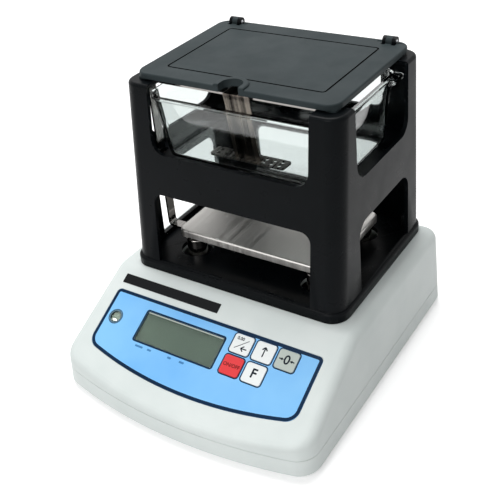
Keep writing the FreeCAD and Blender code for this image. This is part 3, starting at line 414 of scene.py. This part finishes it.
FINISH = {
    "case_white": ABS_CASE, "frame_black": ABS_FRAME, "lid_grey": ABS_LID_PAINTED_SHEEN, "overlay_blue": FILM_BLUE,
    "key_white": FILM_WHITE, "key_grey": FILM_GREY, "key_red": FILM_RED, "film_layer": FILM_CIRCUIT,
    "steel_polished": STEEL_POLISHED, "steel_brushed": STEEL_PLAIN, "aluminium": ALUMINIUM,
    "aluminium_cast": ALUMINIUM_CAST, "clear_plastic": STYRENE, "window_clear": ACRYLIC,
    "lcd": LCD_GLASS, "vial": VIAL_SPIRIT, "vial_ring": RING_GREY, "board_green": BOARD,
    "nylon_black": NYLON, "rubber_black": RUBBER,
}


# CAD nodes -------------------------------------------------------------------------------------

def slot_of(node):
    """The material slot that the record gives a node."""
    return next(part["material_slot"] for part in frame["record"]["subparts"] if part["node"] == node)


def body_of(node):
    """The body that a node belongs to."""
    bodies = frame["record"]["behaviour"]["bodies"]
    return next(body for body, nodes in bodies.items() if node in nodes)


def finish_of(node):
    """The finish of the node's slot, with a brushed one of its own for the weighing pan."""
    return STEEL_PAN if node == "weighing_pan" else FINISH[slot_of(node)]


def restyle(node):
    """Gives a CAD node that is shown as it is the finish of its slot."""
    shown = frame["nodes"][node]
    shown.data.materials.clear()
    shown.data.materials.append(finish_of(node))


def skin(node, flat_degrees=None):
    """A smooth-shaded copy of a CAD node, shown in its place; flat parts may become single faces."""
    source = frame["nodes"][node]
    piece = source.copy()
    piece.data = source.data.copy()
    piece.parent = None
    piece.matrix_world = Matrix.Identity(4)
    piece.name = node + "_skin"
    bpy.context.collection.objects.link(piece)
    edit(piece)
    bpy.ops.mesh.remove_doubles(threshold=MERGE * MM)
    if flat_degrees:
        bpy.ops.mesh.dissolve_limited(angle_limit=math.radians(flat_degrees))
    done_editing()
    smooth(piece, CAD_SMOOTH)
    settle(piece, finish_of(node), body_of(node))
    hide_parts(node)
    return piece


# Modelling helpers -----------------------------------------------------------------------------

def deselect():
    """Leaves nothing selected, because an operator acts on all that is."""
    bpy.ops.object.select_all(action="DESELECT")


def alone(piece):
    """Makes a piece the only selected and active object."""
    deselect()
    piece.select_set(True)
    bpy.context.view_layer.objects.active = piece


def named(name):
    """Names the piece that was just added."""
    piece = bpy.context.object
    piece.name = name
    return piece


def set_in_mesh(piece):
    """Puts the piece's place, turn and size into its mesh."""
    alone(piece)
    bpy.ops.object.transform_apply(location=True, rotation=True, scale=True)


def edit(piece, mode="FACE", select="SELECT"):
    """Starts editing a piece in one select mode, with all of it selected or nothing."""
    alone(piece)
    bpy.ops.object.mode_set(mode="EDIT")
    bpy.ops.mesh.select_mode(type=mode)
    bpy.ops.mesh.select_all(action=select)


def edit_where(piece, test):
    """Starts editing with only those points selected whose place in millimetres passes the test."""
    edit(piece, "VERT", "DESELECT")
    done_editing()
    for vertex in piece.data.vertices:
        vertex.select = test(vertex.co / MM)
    bpy.ops.object.mode_set(mode="EDIT")


def done_editing():
    """Goes back to object mode."""
    bpy.ops.object.mode_set(mode="OBJECT")


def apply_modifier(piece, kind, **settings):
    """Adds one modifier with its settings and applies it."""
    alone(piece)
    bpy.ops.object.modifier_add(type=kind)
    for name, value in settings.items():
        setattr(piece.modifiers[-1], name, value)
    bpy.ops.object.modifier_apply(modifier=piece.modifiers[-1].name)


def smooth(piece, degrees):
    """Smooth shading up to an angle, with flat faces kept flat beside their rounded edges."""
    alone(piece)
    bpy.ops.object.shade_smooth_by_angle(angle=math.radians(degrees))
    apply_modifier(piece, "WEIGHTED_NORMAL", keep_sharp=True)


def joined(pieces, name):
    """Joins pieces into one."""
    deselect()
    for piece in pieces:
        piece.select_set(True)
    bpy.context.view_layer.objects.active = pieces[0]
    bpy.ops.object.join()
    pieces[0].name = name
    return pieces[0]


def settle(piece, material, body):
    """Puts the piece's place into its mesh, gives it a finish and lets it ride on a body."""
    set_in_mesh(piece)
    piece.data.materials.clear()
    piece.data.materials.append(material)
    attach(piece, body)
    return piece


def on_panel(piece, material, body):
    """Moves a piece drawn flat at the origin to the keypad's slope, and settles it there."""
    piece.data.transform(PANEL)
    return settle(piece, material, body)


def sheet_of(name, x0, x1, v0, v1, radius, segments=SHEET_STEPS):
    """A flat rounded rectangle as one face."""
    deselect()
    bpy.ops.mesh.primitive_plane_add(size=1.0, location=((x0 + x1) / 2 * MM, (v0 + v1) / 2 * MM, 0.0))
    piece = named(name)
    piece.scale = ((x1 - x0) * MM, (v1 - v0) * MM, 1.0)
    set_in_mesh(piece)
    edit(piece, "VERT")
    bpy.ops.mesh.bevel(offset=radius * MM, segments=segments, affect="VERTICES")
    done_editing()
    return piece


def disc_of(name, centre, radius):
    """A flat round sheet, made as a square whose corners are rounded until they meet."""
    x, v = centre
    return sheet_of(name, x - radius, x + radius, v - radius, v + radius, radius - NEAR, DISC_STEPS)


def ring_from(piece, width):
    """Keeps only a border of one width along the outline of a flat face."""
    edit(piece)
    bpy.ops.mesh.inset(thickness=width * MM)
    bpy.ops.mesh.delete(type="FACE")
    done_editing()


def thicken(piece, low, high):
    """Raises a flat sheet to low and gives it a closed thickness up to high."""
    piece.data.transform(Matrix.Translation((0, 0, low * MM)))
    edit(piece)
    bpy.ops.mesh.extrude_region_move(TRANSFORM_OT_translate={"value": (0, 0, (high - low) * MM)})
    bpy.ops.mesh.select_all(action="SELECT")
    bpy.ops.mesh.normals_make_consistent(inside=False)
    done_editing()


# Keypad print ----------------------------------------------------------------------------------

def at_side(point):
    """Whether a point of the overlay's outline lies on one of its two straight sides."""
    return abs(abs(point.x) - PAD_HALF_W) < NEAR


def clear_run(piece, reach):
    """Dissolves the arc's points near the two foot corners, so that a round corner has room there."""
    foot = min(v.co.y for v in piece.data.vertices if at_side(v.co / MM)) / MM
    corner = Vector((PAD_HALF_W, foot))
    edit_where(piece, lambda p: NEAR < (corner - Vector((abs(p.x), p.y))).length < reach)
    bpy.ops.mesh.dissolve_verts()
    done_editing()


def round_corners(piece, end, run):
    """Rounds the corners at one end of the two sides: the top where end is max, the foot where it is min."""
    level = end(v.co.y for v in piece.data.vertices if at_side(v.co / MM)) / MM
    edit_where(piece, lambda p: at_side(p) and abs(p.y - level) < NEAR)
    bpy.ops.mesh.bevel(offset=run * MM, offset_type="OFFSET", segments=PAD_CORNER_STEPS,
                       affect="VERTICES", clamp_overlap=False)
    done_editing()


def pad_outline():
    """The overlay's outline as one face: a large disc cut at the top and the two sides, then rounded."""
    deselect()
    bpy.ops.mesh.primitive_circle_add(vertices=PAD_ARC_STEPS, radius=PAD_ARC_R * MM, fill_type="NGON",
                                      location=(0, (PAD_FOOT + PAD_ARC_R) * MM, 0))
    piece = named("overlay_border")
    set_in_mesh(piece)
    for point, normal in (((PAD_HALF_W, 0, 0), (1, 0, 0)), ((-PAD_HALF_W, 0, 0), (-1, 0, 0)),
                          ((0, PAD_TOP, 0), (0, 1, 0))):
        edit(piece, "VERT")
        bpy.ops.mesh.bisect(plane_co=Vector(point) * MM, plane_no=normal, clear_outer=True)
        done_editing()
    round_corners(piece, max, PAD_TOP_R)
    corner = math.pi / 2 + math.asin(PAD_HALF_W / PAD_ARC_R)
    run = PAD_FOOT_R / math.tan(corner / 2)
    clear_run(piece, run + PAD_CLEAR)
    round_corners(piece, min, run)
    return piece


def key_centres():
    """Each key's centre, from the first key and the two pitches."""
    layout = {"key_return": (0, 0), "key_up": (1, 0), "key_zero": (2, 0), "key_mode": (0, 1),
              "key_function": (1, 1)}
    return {name: (KEY_FIRST[0] + column * KEY_PITCH[0], KEY_FIRST[1] + row * KEY_PITCH[1])
            for name, (column, row) in layout.items()}


def printed_ring(outline, width, ink):
    """Prints a border of one width along an outline on the overlay."""
    ring_from(outline, width)
    thicken(outline, 0.0, PRINT_T)
    on_panel(outline, ink, "base")


def print_keypad():
    """The overlay's border and the lines round the display and the keys."""
    printed_ring(pad_outline(), BORDER_W, INK_NAVY)
    outline = sheet_of("display_outline", LCD_X[0] - LCD_LINE, LCD_X[1] + LCD_LINE,
                       LCD_V[0] - LCD_LINE, LCD_V[1] + LCD_LINE, LCD_LINE_R)
    printed_ring(outline, LCD_LINE, INK_NAVY)
    reach_x = KEY_W / 2 + KEY_LINE
    reach_v = KEY_H / 2 + KEY_LINE
    for name, (x, v) in key_centres().items():
        outline = sheet_of(name + "_outline", x - reach_x, x + reach_x, v - reach_v, v + reach_v,
                           KEY_LINE_R)
        printed_ring(outline, KEY_LINE - KEY_LINE_GAP, INK_NAVY)


def print_display():
    """Four small marks under the display, and a pale bar along the inner top edge of its window: a painted
    highlight.
    """
    for number, (x, width) in enumerate(DISPLAY_MARKS):
        mark = bar("display_mark_%d" % number, x - width / 2, MARKS_V, x + width / 2, MARKS_V, MARK_H,
                   level=0.0)
        on_panel(mark, INK_PALE, "base")
    # Painted highlight: a pale bar where the window's inner top edge would catch the light
    v = LCD_V[1] - LCD_HIGHLIGHT_IN
    edge = bar("display_edge_painted_highlight", LCD_X[0] + LCD_HIGHLIGHT_IN, v, LCD_X[1] - LCD_HIGHLIGHT_IN, v, LCD_HIGHLIGHT_W,
               level=LCD_HIGHLIGHT_LEVEL)
    on_panel(edge, FILM_GREY, "base")


def bare_strip():
    """A bare black plate above the overlay."""
    plate = sheet_of("blank_strip", *NAME_STRIP, NAME_STRIP_R, segments=3)
    thicken(plate, 0.0, NAME_STRIP_T)
    on_panel(plate, FILM_BLACK, "base")


# Key signs -------------------------------------------------------------------------------------

def legend_text(name, words, x, v, size, body, weight, ink=INK_DARK):
    """Printed words on a key; weight is how far the strokes are thickened on each side."""
    deselect()
    bpy.ops.object.text_add(location=(0, 0, 0))
    text = named(name)
    text.data.body = words
    text.data.size = size * MM
    text.data.align_x = "CENTER"
    text.data.align_y = "CENTER"
    text.data.extrude = INK_T / 2 * MM
    text.data.offset = weight * MM
    text.data.resolution_u = 4
    bpy.ops.object.convert(target="MESH")
    text = bpy.context.object
    text.data.transform(Matrix.Translation((x * MM, v * MM, (KEY_PROUD + INK_T / 2) * MM)))
    return on_panel(text, ink, body)


def bar(name, x0, v0, x1, v1, width, level=KEY_PROUD):
    """A short printed line between two points."""
    length = math.hypot(x1 - x0, v1 - v0)
    piece = sheet_of(name, -length / 2, length / 2, -width / 2, width / 2, width * LINE_ROUND,
                     LINE_STEPS)
    thicken(piece, level, level + INK_T)
    turn = Matrix.Rotation(math.atan2(v1 - v0, x1 - x0), 4, "Z")
    piece.data.transform(Matrix.Translation(((x0 + x1) / 2 * MM, (v0 + v1) / 2 * MM, 0)) @ turn)
    return piece


def arrow_head(name, x, v, degrees):
    """A filled triangle centred on x, v that points the way the angle says."""
    deselect()
    bpy.ops.mesh.primitive_circle_add(vertices=3, radius=SIDE_HEAD_R * MM, fill_type="NGON")
    piece = named(name)
    thicken(piece, KEY_PROUD, KEY_PROUD + INK_T)
    turn = Matrix.Rotation(math.radians(degrees - 90.0), 4, "Z")
    piece.data.transform(Matrix.Translation((x * MM, v * MM, 0)) @ turn)
    return piece


def open_arrow(name, x, v, length, angle, width):
    """An arrow drawn with three strokes whose tip is at x, v."""
    strokes = [bar(name, x, v, x - length * math.cos(angle), v - length * math.sin(angle), width)]
    for side in (-1, 1):
        barb = angle + math.pi + side * BARB_ANGLE
        strokes.append(bar(name + "_barb", x, v, x + BARB_LENGTH * math.cos(barb),
                           v + BARB_LENGTH * math.sin(barb), width))
    return joined(strokes, name)


def key_legends():
    """The five keys' signs. Each is made flat round its key's centre."""
    places = key_centres()

    x, v = places["key_up"]
    arrow = open_arrow("key_up_legend", x, v + UP_ARROW / 2, UP_ARROW, math.radians(90.0), BOLD_STROKE)
    on_panel(arrow, INK_DARK, "key_up")

    x, v = places["key_return"]
    slash = bar("slash", x - SLASH[0], v - SLASH[1], x + SLASH[0], v + SLASH[1], FINE_STROKE)
    back = open_arrow("back", x + BACK_ARROW[0], v + BACK_ARROW[1], BACK_ARROW[2], math.radians(180.0),
                      STROKE)
    on_panel(joined([slash, back], "key_return_legend"), INK_DARK, "key_return")
    legend_text("key_return_numbers", "0.00", x + NUMBERS_PLACE[0], v + NUMBERS_PLACE[1], size=3.4,
                body="key_return", weight=0.08)

    x, v = places["key_zero"]
    outer, inner = SIDE_SHAFT
    arrows = [bar("left_shaft", x - outer, v, x - inner, v, STROKE),
              arrow_head("left_head", x - SIDE_HEAD, v, 0.0),
              bar("right_shaft", x + inner, v, x + outer, v, STROKE),
              arrow_head("right_head", x + SIDE_HEAD, v, 180.0)]
    on_panel(joined(arrows, "key_zero_legend"), INK_DARK, "key_zero")
    legend_text("key_zero_number", "0", x, v, size=9.6, body="key_zero", weight=0.16)

    legend_text("key_function_letter", "F", *places["key_function"], size=9.8, body="key_function",
                weight=0.22)
    legend_text("key_mode_words", "ON/OFF", *places["key_mode"], size=3.7, body="key_mode", weight=0.1,
                ink=INK_RED)


# Bubble level ----------------------------------------------------------------------------------

def level_bubble():
    """The bubble: a ball pressed flat under the vial's glass."""
    deselect()
    bpy.ops.mesh.primitive_uv_sphere_add(segments=24, ring_count=12, radius=BUBBLE_R * MM)
    bubble = named("level_bubble")
    bubble.scale = BUBBLE_STRETCH
    set_in_mesh(bubble)
    edit(bubble)
    bpy.ops.mesh.bevel(offset=BUBBLE_EDGE * MM, segments=1)
    done_editing()
    place = Vector((*VIAL, 0.0)) + Vector(BUBBLE_PLACE)
    bubble.data.transform(Matrix.Translation(place * MM))
    smooth(bubble, BUBBLE_SMOOTH)
    on_panel(bubble, FILM_WHITE, "base")


def level_dial():
    """The grey dial under the spirit."""
    dial = disc_of("level_dial", VIAL, DIAL_R)
    thicken(dial, *DIAL_LEVELS)
    on_panel(dial, DIAL, "base")


def level_outline():
    """The printed line round the level's ring."""
    printed_ring(disc_of("level_outline", VIAL, VIAL_LINE_R), VIAL_LINE_W, INK_TEAL)


# Lid and hanger --------------------------------------------------------------------------------

def grooved_lid():
    """The lid, with the faces of its moulded groove painted black as painted shade."""
    # The lid's dark grey colour is painted sheen on black plastic
    lid = skin("lid", flat_degrees=LID_FLAT)
    # The groove's faces take a second, black material: painted shade
    lid.data.materials.append(ABS_GROOVE_PAINTED_SHADE)
    half, front, back, rim = LID_GROOVE
    for face in lid.data.polygons:
        x, y, z = face.center / MM
        if abs(x) < half and front < y < back and GROOVE_DEPTHS[0] < rim - z < GROOVE_DEPTHS[1]:
            face.material_index = 1


def pull(piece, test, moves):
    """Extrudes the open edge that passes the test, once for each move in millimetres."""
    edit_where(piece, test)
    bpy.ops.mesh.select_mode(type="EDGE")
    for move in moves:
        bpy.ops.mesh.extrude_region_move(TRANSFORM_OT_translate={"value": Vector(move) * MM})
    done_editing()


def hanger_strip():
    """A strip that hooks over the gantry bar and runs down inside the tank to the small pan."""
    half, front, back, top = HOOK
    pan_middle = SMALL_PAN[3] + SMALL_PAN_T / 2
    deselect()
    bpy.ops.mesh.primitive_plane_add(size=1.0, location=(0.0, (front + back) / 2 * MM, top * MM))
    strip = named("hanger_strip")
    strip.scale = (2 * half * MM, (back - front) * MM, 1.0)
    set_in_mesh(strip)
    pull(strip, lambda p: p.y > back - AT_EDGE, [(0, 0, -HOOK_DROP)])
    pull(strip, lambda p: p.y < front + AT_EDGE, [(0, STRIP_LEAN, pan_middle - top), (0, STRIP_TURN, 0)])
    apply_modifier(strip, "SOLIDIFY", thickness=STRIP_T * MM, offset=-1.0)
    apply_modifier(strip, "BEVEL", width=STRIP_EDGE * MM, segments=2, limit_method="ANGLE",
                   angle_limit=STRIP_SHARP)
    smooth(strip, PLATE_SMOOTH)
    # The strip's dark and bright bands are painted reflections
    return settle(strip, STEEL_STRIP_PAINTED_REFLECTIONS, body_of("hanger"))


def perforated_pan():
    """The small pan under water: a rounded plate with two rows of drilled holes."""
    half, front, back, low = SMALL_PAN
    pan = sheet_of("underwater_pan", -half, half, front, back, SMALL_PAN_R)
    thicken(pan, low, low + SMALL_PAN_T)
    drills = []
    for row in HOLE_ROWS:
        y = front + (back - front) * row
        for column in HOLE_COLUMNS:
            deselect()
            bpy.ops.mesh.primitive_cylinder_add(vertices=HOLE_SIDES, radius=HOLE_R * MM,
                                                depth=DRILL_LENGTH * MM,
                                                location=(column * HOLE_PITCH * MM, y * MM, low * MM))
            drills.append(bpy.context.object)
    drill = joined(drills, "pan_drill")
    set_in_mesh(drill)
    apply_modifier(pan, "BOOLEAN", object=drill, operation="DIFFERENCE", solver="EXACT")
    bpy.data.objects.remove(drill)
    smooth(pan, PLATE_SMOOTH)
    return settle(pan, STEEL_PUNCHED, body_of("hanger"))


def hanger():
    """The strip and its small pan, shown in place of the CAD hanger."""
    for piece in (hanger_strip(), perforated_pan()):
        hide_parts("hanger")


# Stage and light -------------------------------------------------------------------------------

WHITE = (1, 1, 1, 1)
FLOOR_SIZE = 12.0
FLOOR_COLOUR = "#F2F2F2"
FLOOR_ROUGHNESS = 0.9
FLOOR_GLOW = 0.45
# How strongly the white background lights the object
WORLD_FILL = 0.21
# Each lamp's name, place, target, disc size in metres and power in watts
LAMPS = [("key_light", (0.0, -1.35, 1.05), (0, 0, 0.08), 0.9, 9.8),
         ("top_light", (-0.3, 0.3, 1.5), (0, 0, 0.1), 1.0, 19.0),
         ("side_light", (1.1, -0.7, 0.7), (0, 0, 0.1), 0.4, 0.3)]


def shows_backdrop(tree):
    """1 for the rays that show the pale background: to the camera, or by way of metal or glass."""
    path = add_node(tree, "ShaderNodeLightPath")
    through = add_node(tree, "ShaderNodeMath", {0: path.outputs["Is Glossy Ray"],
                                                1: path.outputs["Is Transmission Ray"]}, operation="MAXIMUM")
    shown = add_node(tree, "ShaderNodeMath", {0: path.outputs["Is Camera Ray"], 1: through.outputs[0]},
                     operation="MAXIMUM")
    return shown.outputs[0]


def floor():
    """A pale floor that keeps the object's shadow and glows only for rays that show the background."""
    deselect()
    bpy.ops.mesh.primitive_plane_add(size=FLOOR_SIZE, location=(0, 0, 0))
    ground = named("floor")
    material, tree = new_material("pale_floor")
    matt = add_node(tree, "ShaderNodeBsdfPrincipled", (),
                    {"Base Color": colour(FLOOR_COLOUR), "Roughness": FLOOR_ROUGHNESS})
    glow = add_node(tree, "ShaderNodeEmission", (), {"Color": WHITE, "Strength": FLOOR_GLOW})
    none = add_node(tree, "ShaderNodeEmission", (), {"Strength": 0.0})
    lift = add_node(tree, "ShaderNodeMixShader",
                    {0: shows_backdrop(tree), 1: none.outputs[0], 2: glow.outputs[0]})
    both = add_node(tree, "ShaderNodeAddShader", {0: matt.outputs[0], 1: lift.outputs[0]})
    finish_with(tree, both)
    ground.data.materials.append(material)


def world_light():
    """A white background that lights the object only at the fill's strength."""
    world = bpy.data.worlds.new("studio")
    world.use_nodes = True
    tree = world.node_tree
    tree.nodes.clear()
    strength = add_node(tree, "ShaderNodeMapRange", {0: shows_backdrop(tree)}, {3: WORLD_FILL, 4: 1.0})
    background = add_node(tree, "ShaderNodeBackground", {"Strength": strength.outputs[0]},
                          {"Color": WHITE})
    add_node(tree, "ShaderNodeOutputWorld", {"Surface": background.outputs[0]})
    bpy.context.scene.world = world


def lamp(name, place, target, size, power):
    """A round area lamp that points at a target."""
    data = bpy.data.lights.new(name, "AREA")
    data.shape = "DISK"
    data.size = size
    data.energy = power
    light = bpy.data.objects.new(name, data)
    bpy.context.collection.objects.link(light)
    look = Vector(target) - Vector(place)
    light.matrix_world = Matrix.Translation(place) @ look.to_track_quat("-Z", "Y").to_matrix().to_4x4()


# Put it together -------------------------------------------------------------------------------

place_camera()
for node_name in frame["nodes"]:
    if node_name in SMOOTH_NODES:
        skin(node_name)
    elif node_name not in OWN_PIECE_NODES:
        restyle(node_name)
grooved_lid()
hanger()
print_keypad()
print_display()
bare_strip()
key_legends()
level_bubble()
level_dial()
level_outline()
floor()
world_light()
for settings in LAMPS:
    lamp(*settings)

bpy.context.scene.view_settings.view_transform = "Standard"
